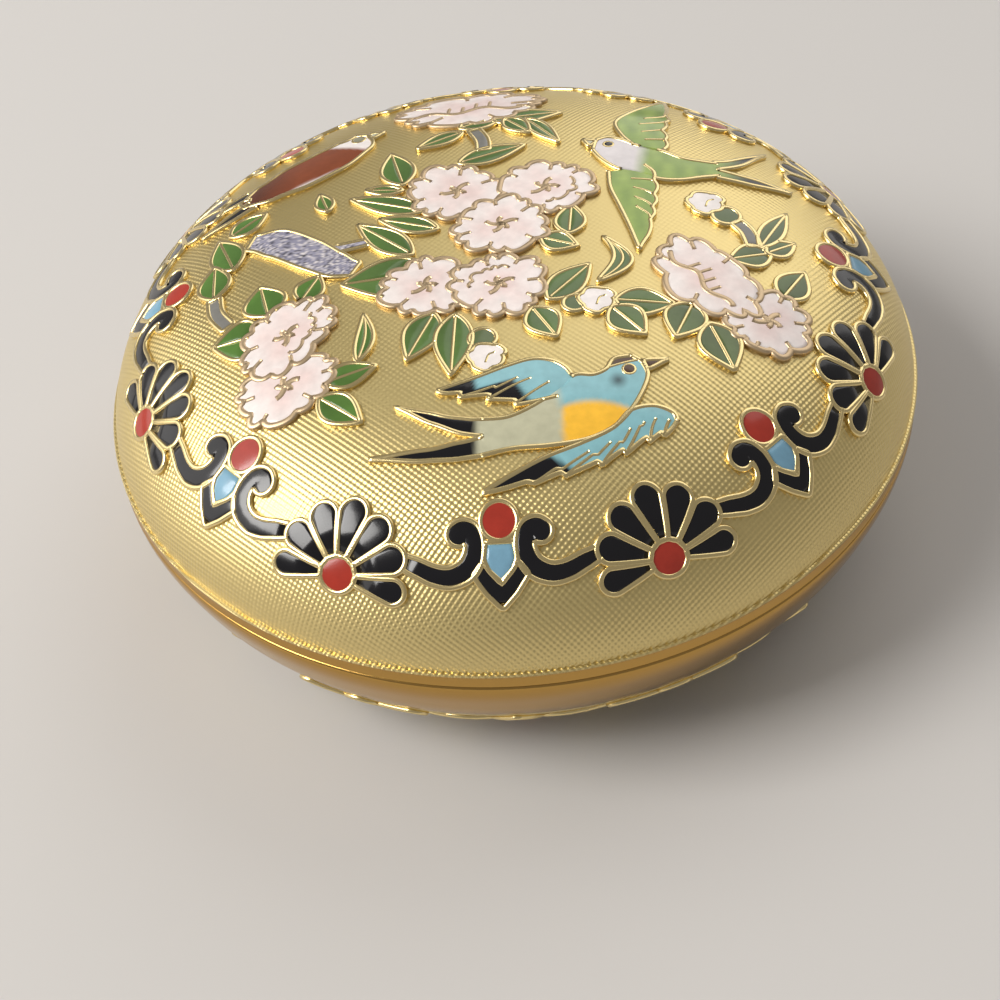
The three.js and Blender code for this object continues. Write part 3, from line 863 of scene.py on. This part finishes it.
def draw_blue_bird(pen):
    """The front bird, flying to the right: sky-blue back and wings, yellow breast, black feather tips."""
    tint = pen.tint
    dark = 0.3 * mix(tint["brown"], tint["grey"], 0.25)

    def far_tips(flat):
        return mix(tint["sky"], tint["black"], beyond(flat, (7.4, -31.2), (4.2, -29.0)))

    def near_tips(flat):
        first = beyond(flat, (-1.9, -22), (-2.3, -19.5))
        others = beyond(flat, (2.9, -22.8), (1.7, -20.7)) * beyond(flat, (1.4, -20.6), (-3.4, -22), 0.2)
        return mix(tint["sky"], tint["black"], np.maximum(first, others))

    draw_wing(
        pen,
        [
            (17.2, -25.5), (16.8, -24.6), (15, -24.0), (12.8, -24.6), (11, -26.6), (8, -28.2), (4.6, -29.6),
            (1.5, -31.2), (-1.6, -32.9),
        ],
        [
            (17.2, -25.5), (16.6, -26.2), (15.4, -26.9), (14, -27.5), (11.5, -29.0), (9, -30.2), (6, -31.1),
            (3, -31.9), (-1.6, -32.9),
        ],
        far_tips, (0.22, 0.36, 0.48, 0.6, 0.75, 0.88), 0.3, 0.55, toothed,
    )
    prongs = (
        [(-0.6, -26.2), (-3, -25.9), (-6, -24.8), (-9.9, -22.9)],
        [(-0.6, -28.1), (-3.5, -28.5), (-7, -28.7), (-12.4, -28.4)],
    )
    draw_prongs(pen, prongs, [1.0, 0.85, 0.55, 0.03], darkening(tint["grey"], tint["black"], -1.7, -1.6))
    body = between(
        [
            (-1.6, -29.2), (1.5, -28.6), (5, -28.4), (8.5, -27.8), (11.2, -26.4), (13, -24.3), (14.2, -22),
            (14.7, -20.2), (14.2, -18.6),
        ],
        [
            (-1.6, -25.2), (1, -25.1), (3.5, -23.9), (6, -22), (7.6, -20.3), (9.4, -20.3), (10.7, -19.6),
            (11.5, -18.3), (13.2, -17.9),
        ],
    )

    def plumage(flat):
        rear = beyond(flat, (6.8, -28), (5.6, -20), 1.0)
        arched = np.stack([flat[..., 0], flat[..., 1] + 0.07 * (flat[..., 0] - 9.8) ** 2], axis=-1)
        breast = beyond(flat, (6.2, -20), (6.3, -28), 0.6) * beyond(arched, (13.5, -23.9), (6.2, -23.3), 0.7)
        cheek = np.clip(1.1 - np.linalg.norm(flat - np.array([11.8, -21.1]), axis=-1), 0, 1)
        feathers = mix(mix(tint["sky"], tint["grey"], rear), tint["yellow"], breast)
        cap = beyond(flat, (10.6, -19.6), (14.3, -18.3), 0.2) * beyond(flat, (10.6, -18), (10.6, -20), 0.3)
        return mix(mix(feathers, tint["black"], 0.8 * cheek), dark, cap)

    pen.cell(body, painted(body, plumage), wired=False, raised=0.015, columns=26)
    pen.wire(spline([(10.7, -19.5), (12.4, -18.9), (14.2, -18.4)], 20), fine=True)
    draw_edge(pen, body, 0, 1, -1)
    draw_edge(pen, body, 0, 0.3, 1)
    draw_edge(pen, body, 0.475, 1, 1)
    draw_end(pen, body)
    draw_wing(
        pen,
        [(7.4, -20.3), (6.7, -19.2), (5.4, -18.3), (3.5, -18), (1.2, -18.7), (-2.1, -20.1), (-5.9, -21.4)],
        [(6.9, -22.6), (4.3, -23.1), (2.2, -23.2), (0.6, -22.8), (-0.7, -22.3), (-3, -21.9), (-5.9, -21.4)],
        near_tips, (0.35, 0.66, 0.86), 0.42, 0.65, toothed, 0.06,
    )
    pen.cell(stroke([(14.5, -19.1), (16.9, -18.3)], [0.55, 0.03]), dark)
    pen.disc(12.9, -19.7, 0.62, dark, fine=True, raised=0.07)


def draw_green_bird(pen):
    """The bird at the back right, flying to the left: pale head, yellow-green wings with scalloped edges."""
    tint = pen.tint
    pale = mix(tint["white"], tint["lavender"], 0.3)

    def streaked(flat):
        streak = np.sin(2.6 * flat[..., 0]) * np.sin(0.7 * flat[..., 1])
        return mix(tint["green"], tint["leaf"], 0.25 + 0.2 * streak)

    prongs = ([(23.4, 11.8), (27.5, 10.7), (32.2, 9.8)], [(23.4, 13.0), (26.5, 14.4), (30.2, 18.2)])
    draw_prongs(pen, prongs, [0.75, 0.6, 0.03], darkening(tint["green"], tint["black"], 24, 0.3))
    body = between(
        [
            (24.4, 11.2), (22.5, 10.7), (20, 10), (17.6, 10.2), (15.2, 11.6), (13.2, 12.4), (11.6, 14.2),
            (10.6, 16.2),
        ],
        [
            (24.4, 13.7), (22.5, 13.9), (20.5, 14.4), (18.4, 15.8), (15.6, 17), (14, 18.2), (12.4, 18.8),
            (11, 18.2),
        ],
    )

    def plumage(flat):
        return mix(streaked(flat), pale, beyond(flat, (15.4, 11), (16.6, 18), 1.6))

    pen.cell(body, painted(body, plumage), wired=False, raised=0.015, columns=16)
    for side in (-1, 1):
        draw_edge(pen, body, 0, 0.46, side)
    draw_edge(pen, body, 0.68, 1, -1)
    draw_edge(pen, body, 0.55, 1, 1)
    draw_end(pen, body)
    draw_wing(
        pen,
        [(15.3, 17), (14, 19.4), (13.4, 22.4), (15, 25), (17.4, 28), (19.5, 31.2)],
        [(18.4, 16), (18.8, 18.4), (18.6, 21), (19.2, 23.6), (19.2, 26.4), (19.5, 31.2)],
        streaked, (0.2, 0.38, 0.56, 0.72),
    )
    draw_wing(
        pen,
        [(12.2, 11.8), (12.3, 8.8), (13.1, 5.6), (14, 2), (14.9, -2.2)],
        [(16.2, 12.9), (17, 10.4), (16.9, 7.2), (16.5, 4.4), (16, 1.6), (14.9, -2.2)],
        streaked, (0.24, 0.4, 0.56, 0.72),
    )
    pen.cell(stroke([(10.7, 17.5), (9.5, 18.5)], [0.6, 0.04]), tint["grey"])
    pen.disc(12.4, 17.2, 0.55, tint["black"], fine=True, raised=0.07)


def draw_brown_bird(pen):
    """The bird perched at the back left: russet back, white belly and head, black tail."""
    tint = pen.tint
    prongs = ([(-28.4, 15.4), (-30.4, 14.8), (-32.6, 13.4)], [(-27.6, 13.2), (-30, 11.4), (-33.8, 9.2)])
    draw_prongs(pen, prongs, [0.9, 0.7, 0.05], darkening(tint["brown"], tint["black"], -27, -0.5))
    path = [(-29.4, 13.2), (-26.4, 14.8), (-23, 16.8), (-19.6, 19), (-17, 21.6), (-16.2, 24)]
    body = stroke(path, [0.9, 2.3, 3.1, 3.0, 2.4, 0.9], 120)

    def plumage(flat):
        back = mix(tint["brown"] * 0.45, tint["brown"], 0.22 * (flat[..., 0] + 27.5))
        belly = beyond(flat, (-16, 17.6), (-26, 12.4), 0.6) * beyond(flat, (-24, 16), (-23, 11), 0.8)
        head = beyond(flat, (-14, 19.6), (-21, 22.6), 0.6)
        return mix(back, tint["white"], np.maximum(belly, 1 - head))

    pen.cell(body, painted(body, plumage), columns=18)
    pen.disc(-16.5, 22.9, 0.75, tint["grey"] * 0.5, fine=True, raised=0.07)
    pen.cell(stroke([(-15.2, 23.4), (-13.4, 24)], [0.7, 0.04]), tint["grey"])


# Meshes and materials


def joined(parts):
    """Several sets of points, colours and faces as one set."""
    starts = np.cumsum([0] + [len(points) for points, _, _ in parts])
    faces = [[corner + start for corner in face] for (_, _, own), start in zip(parts, starts) for face in own]
    return np.concatenate([part[0] for part in parts]), np.concatenate([part[1] for part in parts]), faces


def mesh_object(name, points, faces, materials, tint=None):
    """A smooth-shaded mesh object at the origin from points in millimetres, with or without point colours."""
    mesh = bpy.data.meshes.new(name)
    mesh.from_pydata((np.asarray(points) * MM).tolist(), [], [list(face) for face in faces])
    mesh.polygons.foreach_set("use_smooth", np.ones(len(mesh.polygons), bool))
    if tint is not None:
        layer = mesh.color_attributes.new("enamel", "FLOAT_COLOR", "POINT")
        opaque = np.concatenate([tint, np.ones((len(tint), 1))], axis=1)
        layer.data.foreach_set("color", opaque.astype(np.float32).ravel())
    for material in materials:
        mesh.materials.append(material)
    mesh.update()
    piece = bpy.data.objects.new(name, mesh)
    bpy.context.scene.collection.objects.link(piece)
    return piece


class Shading:
    """A material with one principled shader, fed by plain values and by further nodes."""

    def __init__(self, name, inputs):
        self.material = bpy.data.materials.new(name)
        self.material.use_nodes = True
        self.tree = self.material.node_tree
        self.feed(inputs)

    def feed(self, inputs, node=None):
        """Sets a node's sockets, the shader's if none is given: a value is set and an output is linked."""
        node = node or self.tree.nodes["Principled BSDF"]
        for socket, value in inputs.items():
            if isinstance(value, bpy.types.NodeSocket):
                self.tree.links.new(value, node.inputs[socket])
            else:
                node.inputs[socket].default_value = value

    def node(self, kind, inputs, output=0, **settings):
        """Adds a node with its settings and inputs, and gives one of its outputs."""
        node = self.tree.nodes.new("ShaderNode" + kind)
        for setting, value in settings.items():
            setattr(node, setting, value)
        self.feed(inputs, node)
        return node.outputs[output]


def linen_gilt(name, metal):
    """Gilt stamped with crossed lines: two sine waves over the unrolled map, nearly square, as a bump.

    The stamp is shallower near the crown, from the distance over the map.
    """
    shading = Shading(name, {"Base Color": (*metal.gilt, 1), "Metallic": 1.0, "Roughness": LINEN_ROUGHNESS})
    unrolled = shading.node("UVMap", {}, "UV", uv_map="unrolled")
    scale = 2 * math.pi * MM / metal.linen_pitch
    waves = []
    for degrees in LINEN_TURNS:
        turn = math.radians(degrees)
        across = (scale * math.cos(turn), scale * math.sin(turn), 0)
        phase = shading.node("VectorMath", {0: unrolled, 1: across}, "Value", operation="DOT_PRODUCT")
        waves.append(shading.node("Math", {0: phase}, operation="SINE"))
    crossed = shading.node("Math", {0: waves[0], 1: waves[1]}, operation="ADD")
    reach = shading.node("VectorMath", {0: unrolled}, "Value", operation="LENGTH")
    limits = {"From Min": 14.0, "From Max": 36.0, "To Min": 0.12, "To Max": 1.0}
    fade = shading.node("MapRange", {"Value": reach, **limits}, "Result")
    faded = shading.node("Math", {0: crossed, 1: fade}, operation="MULTIPLY")
    stamp = {"Strength": 1.0, "Distance": metal.linen_depth / 4, "Height": faded}
    shading.feed({"Normal": shading.node("Bump", stamp, "Normal")})
    return shading.material


def smooth_gilt(name, tint, roughness):
    """Plain polished gilt."""
    return Shading(name, {"Base Color": (*tint, 1), "Metallic": 1.0, "Roughness": roughness}).material


def glossy_enamel(name):
    """Fired enamel: the colour stored at each point, faintly clouded, under a glassy surface."""
    glaze = {"Roughness": ENAMEL_ROUGHNESS, "IOR": 1.45, "Coat Weight": 0.1, "Coat Roughness": 0.05}
    shading = Shading(name, glaze)
    stored = shading.node("VertexColor", {}, "Color", layer_name="enamel")
    place = shading.node("TexCoord", {}, "Object")
    cloud = shading.node("TexNoise", {"Vector": place, "Scale": 900.0, "Detail": 3.0}, "Fac")
    shade = shading.node("MapRange", {"Value": cloud, "To Min": 0.82, "To Max": 1.16}, "Result")
    clouded = shading.node("VectorMath", {0: stored, "Scale": shade}, "Vector", operation="SCALE")
    shading.feed({"Base Color": clouded})
    return shading.material


def plain_enamel(name, tint):
    """Enamel of one colour."""
    glaze = {"Roughness": ENAMEL_ROUGHNESS, "IOR": 1.55, "Coat Weight": 0.3, "Coat Roughness": 0.05}
    return Shading(name, {"Base Color": (*tint, 1), **glaze}).material


def finish(name, make, *values):
    """The material of that name, made the first time it is asked for."""
    return bpy.data.materials.get(name) or make(name, *values)


def turned(name, profile, zones, materials, segments):
    """A profile of radius and height carried round the axis, starting and ending on it.

    The unrolled map puts each point at its angle and at its distance along the profile from the start, in
    millimetres, so that a stamped pattern keeps its pitch down the dome. Each stretch of the profile has the
    material that its zone numbers.
    """
    profile = np.asarray(profile, float)
    inner = profile[1:-1]
    turn = np.linspace(0, 2 * np.pi, segments, endpoint=False)
    circle_xy = np.stack([np.sin(turn), -np.cos(turn)], axis=1)
    rings = np.concatenate(
        [
            inner[:, None, :1] * circle_xy[None],
            np.broadcast_to(inner[:, None, 1:], (len(inner), segments, 1)),
        ],
        axis=2,
    )
    poles = np.array([[0, 0, profile[0, 1]], [0, 0, profile[-1, 1]]])
    points = np.concatenate([rings.reshape(-1, 3), poles])
    count = len(inner) * segments
    around = np.arange(segments)
    after = (around + 1) % segments
    first = np.stack([np.full(segments, count), around, after], axis=1)
    last_ring = (len(inner) - 1) * segments
    last = np.stack([np.full(segments, count + 1), last_ring + after, last_ring + around], axis=1)
    quads = grid_faces(len(inner), segments, wrap_columns=True)
    piece = mesh_object(name, points, [*first.tolist(), *quads.tolist(), *last.tolist()], materials)
    mesh = piece.data
    mesh.polygons.foreach_set("material_index", np.repeat(zones, segments).astype(np.int32))
    run = distance_along(profile)
    flat = np.concatenate([(run[1:-1, None, None] * circle_xy[None]).reshape(-1, 2), np.zeros((2, 2))])
    corners = np.empty(len(mesh.loops), np.int32)
    mesh.loops.foreach_get("vertex_index", corners)
    layer = mesh.uv_layers.new(name="unrolled")
    layer.data.foreach_set("uv", flat[corners].astype(np.float32).ravel())
    mesh.set_sharp_from_angle(angle=math.radians(SHARP_DEGREES))
    return piece


def place_piece(piece):
    """Fixes a piece to the box's one body."""
    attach(piece, "root")
    return piece


def dome_profile(dome, steps, end):
    """Radius and height at even distances from the crown down to a distance from the rim."""
    distance = dome.distance[-1] + (end - dome.distance[-1]) * np.linspace(0, 1, steps)
    points = dome.points(np.zeros(steps), distance, np.zeros(steps))
    return np.stack([-points[:, 1], points[:, 2]], axis=1)


def rim_edge(up):
    """The softened corner of a rim, from its side to the seam."""
    return [(RADIUS - inset, SEAM + up * away) for inset, away in ((0.02, 0.28), (0.12, 0.1), (0.3, 0.0))]


def lid_band():
    """The smooth band of the lid: a bead under the dome's edge, a hollow face and the corner at the seam."""
    inset = [0.12, 0.0, 0.02, 0.16, 0.1]
    height = [BAND_HEIGHT + 0.18, BAND_HEIGHT, BAND_HEIGHT - 0.16, BAND_HEIGHT - 0.28, 0.5]
    return [(RADIUS - a, SEAM + b) for a, b in zip(inset, height)] + rim_edge(1)


def hollowed(profile, radius_share, level, height_share):
    """A profile drawn in by one share across and by another from a level."""
    height = level + (profile[:, 1] - level) * height_share
    return np.stack([profile[:, 0] * radius_share, height], axis=1)


def turn_shell(context, name, profile, zones):
    """Turns a shell in linen gilt, band gilt with painted shade, and lining, as its zones number them."""
    metal = context.scene.box_metal
    materials = [
        finish("linen gilt", linen_gilt, metal),
        # The band gilt's darker colour holds painted shade.
        finish("band gilt", smooth_gilt, metal.band, BAND_ROUGHNESS),
        finish("lining", plain_enamel, context.scene.box_enamel.lining),
    ]
    return turned(name, profile, zones, materials, metal.segments)


class BOX_OT_lid_shell(bpy.types.Operator):
    """Turns the hollow lid: linen dome, rim band, seat and lining"""

    bl_idname = "box.lid_shell"
    bl_label = "Lid metal"

    def execute(self, context):
        outside = dome_profile(LID_DOME, OUTSIDE_STEPS, LID_EDGE)
        band = lid_band()
        inner_wall = [(RADIUS - WALL, SEAM), (RADIUS - WALL, SEAM + SPRING)]
        hollow = dome_profile(LID_DOME, LID_HOLLOW_STEPS, 0.0)[::-1]
        hollow = hollowed(hollow, (RADIUS - WALL) / DOME_RADIUS, SEAM + SPRING, (LID_RISE - WALL) / LID_RISE)
        profile = [*outside, *band, *inner_wall, *hollow[1:]]
        # The ring up to the top of the bead keeps the paler linen gilt as a painted highlight along the
        # dome's edge.
        zones = [LINEN] * (len(outside) + 1) + [BAND] * len(band)
        zones += [LINING] * (len(profile) - 1 - len(zones))
        piece = turn_shell(context, "lid_metal", profile, zones)
        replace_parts(place_piece(piece), "lid")
        return {"FINISHED"}


class BOX_OT_base_shell(bpy.types.Operator):
    """Turns the hollow bowl: foot ring, linen wall, rim band, seat, lip and lining"""

    bl_idname = "box.base_shell"
    bl_label = "Bowl metal"

    def execute(self, context):
        hollow = dome_profile(BASE_DOME, BASE_HOLLOW_STEPS, 0.0)
        scale = (DOME_RADIUS - WALL) / DOME_RADIUS
        hollow = hollowed(hollow, scale, SEAM - SPRING, (BASE_RISE - WALL) / BASE_RISE)
        hollow = hollow[hollow[:, 0] < LIP_INNER]
        lip_top = SEAM + LIP_ABOVE
        lip = [
            (LIP_INNER, lip_top - CORNER), (LIP_INNER + LIP_ROUND, lip_top), (LIP_OUTER - LIP_ROUND, lip_top),
            (LIP_OUTER, lip_top - CORNER), (LIP_OUTER, SEAM),
        ]
        edge = rim_edge(-1)[::-1]
        outside = dome_profile(BASE_DOME, OUTSIDE_STEPS, 0.0)[::-1]
        outside = outside[outside[:, 0] > FOOT_OUTER + 0.3]
        below = np.clip((SEAM - SPRING - outside[:, 1]) / BOWL_EASE, 0, 1)
        outside[:, 0] += BAND_STEP * (1 - below * below * (3 - 2 * below))
        foot = [
            (FOOT_OUTER + 0.1, FOOT_HEIGHT), (FOOT_OUTER, FOOT_HEIGHT - 0.2),
            (FOOT_OUTER, CORNER), (FOOT_OUTER - CORNER, 0), (FOOT_INNER + CORNER, 0), (FOOT_INNER, CORNER),
            (FOOT_INNER, FOOT_HEIGHT - 0.15), (FOOT_INNER - 0.15, FOOT_HEIGHT),
        ]
        profile = [*hollow, *lip, *edge, *outside, *foot, (0, FOOT_HEIGHT)]
        smooth = int((outside[:, 1] > SEAM - SMOOTH_WALL).sum())
        zones = [LINING] * len(hollow) + [BAND] * (len(lip) + len(edge) + smooth - 1)
        zones += [LINEN] * (len(outside) - smooth) + [BAND] * len(foot)
        zones += [LINING] * (len(profile) - 1 - len(zones))
        piece = turn_shell(context, "bowl_metal", profile[::-1], zones[::-1])
        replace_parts(place_piece(piece), "base")
        return {"FINISHED"}


def add_relief(context, name, laid):
    """Makes the enamel cells and the wires of a drawing into two pieces."""
    enamel = finish("enamel", glossy_enamel)
    wire = finish("wire gilt", smooth_gilt, context.scene.box_metal.wire, WIRE_ROUGHNESS)
    points, tint, faces = joined(laid["cells"])
    place_piece(mesh_object(name + "_enamel", points, faces, [enamel], tint))
    points, _, faces = joined(laid["wires"])
    place_piece(mesh_object(name + "_wires", points, faces, [wire]))


class BOX_OT_lid_garland(bpy.types.Operator):
    """Lays the palmettes, pendants and scrolls round the lid"""

    bl_idname = "box.lid_garland"
    bl_label = "Lid garland"

    def execute(self, context):
        laid = draw_garland(context.scene.box_metal, context.scene.box_enamel, LID_DOME)
        add_relief(context, "lid_garland", laid)
        return {"FINISHED"}


class BOX_OT_base_garland(bpy.types.Operator):
    """Lays the same garland round the bowl, the other way up"""

    bl_idname = "box.base_garland"
    bl_label = "Bowl garland"

    def execute(self, context):
        laid = draw_garland(context.scene.box_metal, context.scene.box_enamel, BASE_DOME)
        add_relief(context, "bowl_garland", laid)
        return {"FINISHED"}


class BOX_OT_picture(bpy.types.Operator):
    """Lays the leaves, blossoms, branch and birds on the crown"""

    bl_idname = "box.picture"
    bl_label = "Crown picture"

    def execute(self, context):
        metal = context.scene.box_metal
        pen = Pen(metal, context.scene.box_enamel)
        plants = (draw_stalks, draw_leaves, draw_blossoms)
        birds = (draw_blue_bird, draw_green_bird, draw_brown_bird)
        for draw in (*plants, *birds):
            draw(pen)
        laid = {name: [getattr(pen, name).laid(LID_DOME.from_plan)] for name in ("cells", "wires")}
        add_relief(context, "picture", laid)
        # The blossoms' wires are tan, with painted shade in the colour.
        dull = finish("dull wire", smooth_gilt, metal.dull, DULL_ROUGHNESS)
        points, _, faces = pen.dull_and_shaded_wires.laid(LID_DOME.from_plan)
        place_piece(mesh_object("blossom_wires", points, faces, [dull]))
        return {"FINISHED"}


# The stage

CAMERA_ELEVATION = math.radians(42.376)
CAMERA_DISTANCE = 4.0658 * RADIUS
CAMERA_ROLL = 0.10625
CAMERA_YAW = -0.01515
CAMERA_PITCH = 0.08501
CAMERA_TURN = 0.07202
CAMERA_LENS = 57.73
AIM_HEIGHT = SEAM + 0.765
FLOOR_REACH = 3000
# Name, place in metres, size in metres, watts and colour of each light
LIGHTS = [
    ("window", (-0.72, -0.2, 0.72), 0.5, 8.5, (1, 0.98, 0.95)),
    ("left wall", (-1.3, 0.2, 0.75), 1.3, 7.0, (1, 0.98, 0.95)),
    ("back panel", (0.68, 1.22, 1.0), 1.7, 11.0, (1, 0.98, 0.96)),
]


def camera_matrix():
    """The camera's place, aimed at the axis and then turned by yaw, pitch and roll about its own axes."""
    spin = np.array(Matrix.Rotation(CAMERA_TURN, 3, "Z"))
    back = np.array([0, -math.cos(CAMERA_ELEVATION), math.sin(CAMERA_ELEVATION)])
    right = np.array([1.0, 0, 0])
    aimed = np.stack([right, np.cross(back, right), back])
    about = ((CAMERA_ROLL, "Z"), (CAMERA_PITCH, "X"), (CAMERA_YAW, "Y"))
    roll, pitch, yaw = (np.array(Matrix.Rotation(angle, 3, axis)) for angle, axis in about)
    rows = roll @ pitch @ yaw @ aimed @ spin.T
    place = (spin @ back * CAMERA_DISTANCE + np.array([0, 0, AIM_HEIGHT])) * MM
    matrix = np.eye(4)
    matrix[:3, :3] = rows.T
    matrix[:3, 3] = place
    return Matrix(matrix.tolist())


def add_light(name, place, size, watts, tint):
    """A square area light aimed at the box."""
    light = bpy.data.lights.new(name, "AREA")
    light.size = size
    light.energy = watts
    light.color = tint
    lamp = bpy.data.objects.new(name, light)
    bpy.context.scene.collection.objects.link(lamp)
    aim = Vector(place) - Vector((0, 0, SEAM * MM))
    lamp.rotation_euler = aim.to_track_quat("Z", "Y").to_euler()
    lamp.location = place


class BOX_OT_stage(bpy.types.Operator):
    """Sets the floor, the soft lights and the camera"""

    bl_idname = "box.stage"
    bl_label = "Stage"

    def execute(self, context):
        scene = context.scene
        corners = np.array([[-1, -1, 0], [1, -1, 0], [1, 1, 0], [-1, 1, 0]]) * FLOOR_REACH
        pale = Shading("floor", {"Base Color": (0.6, 0.58, 0.56, 1), "Roughness": 0.75}).material
        floor = mesh_object("floor", corners, [[0, 1, 2, 3]], [pale])
        world = bpy.data.worlds.new("studio")
        world.use_nodes = True
        background = world.node_tree.nodes["Background"].inputs
        background["Color"].default_value = (1, 0.97, 0.93, 1)
        background["Strength"].default_value = 0.29
        scene.world = world
        scene.view_settings.view_transform = "Standard"
        for light in LIGHTS:
            add_light(*light)
        view = bpy.data.cameras.new("camera")
        view.sensor_width = 36
        view.lens = CAMERA_LENS
        view.clip_start = 0.005
        camera = bpy.data.objects.new("camera", view)
        scene.collection.objects.link(camera)
        camera.matrix_world = camera_matrix()
        scene.camera = camera
        return {"FINISHED"}


class BOX_PT_panel(bpy.types.Panel):
    """The box's builders and their settings"""

    bl_idname = "BOX_PT_panel"
    bl_label = "Cloisonne box"
    bl_space_type = "VIEW_3D"
    bl_region_type = "UI"
    bl_category = "Box"

    def draw(self, context):
        layout = self.layout
        for operator in OPERATORS:
            layout.operator(operator.bl_idname)
        for group in (context.scene.box_metal, context.scene.box_enamel):
            column = layout.column()
            for name in group.__annotations__:
                column.prop(group, name)


OPERATORS = (
    BOX_OT_lid_shell,
    BOX_OT_base_shell,
    BOX_OT_lid_garland,
    BOX_OT_base_garland,
    BOX_OT_picture,
    BOX_OT_stage,
)
CLASSES = (BoxMetal, BoxEnamel, *OPERATORS, BOX_PT_panel)


def register():
    for cls in CLASSES:
        bpy.utils.register_class(cls)
    bpy.types.Scene.box_metal = PointerProperty(type=BoxMetal)
    bpy.types.Scene.box_enamel = PointerProperty(type=BoxEnamel)


def unregister():
    del bpy.types.Scene.box_enamel
    del bpy.types.Scene.box_metal
    for cls in reversed(CLASSES):
        bpy.utils.unregister_class(cls)


def main():
    """Builds every piece and the stage."""
    register()
    bpy.ops.box.lid_shell()
    bpy.ops.box.base_shell()
    bpy.ops.box.lid_garland()
    bpy.ops.box.base_garland()
    bpy.ops.box.picture()
    bpy.ops.box.stage()


if __name__ == "__main__":
    main()
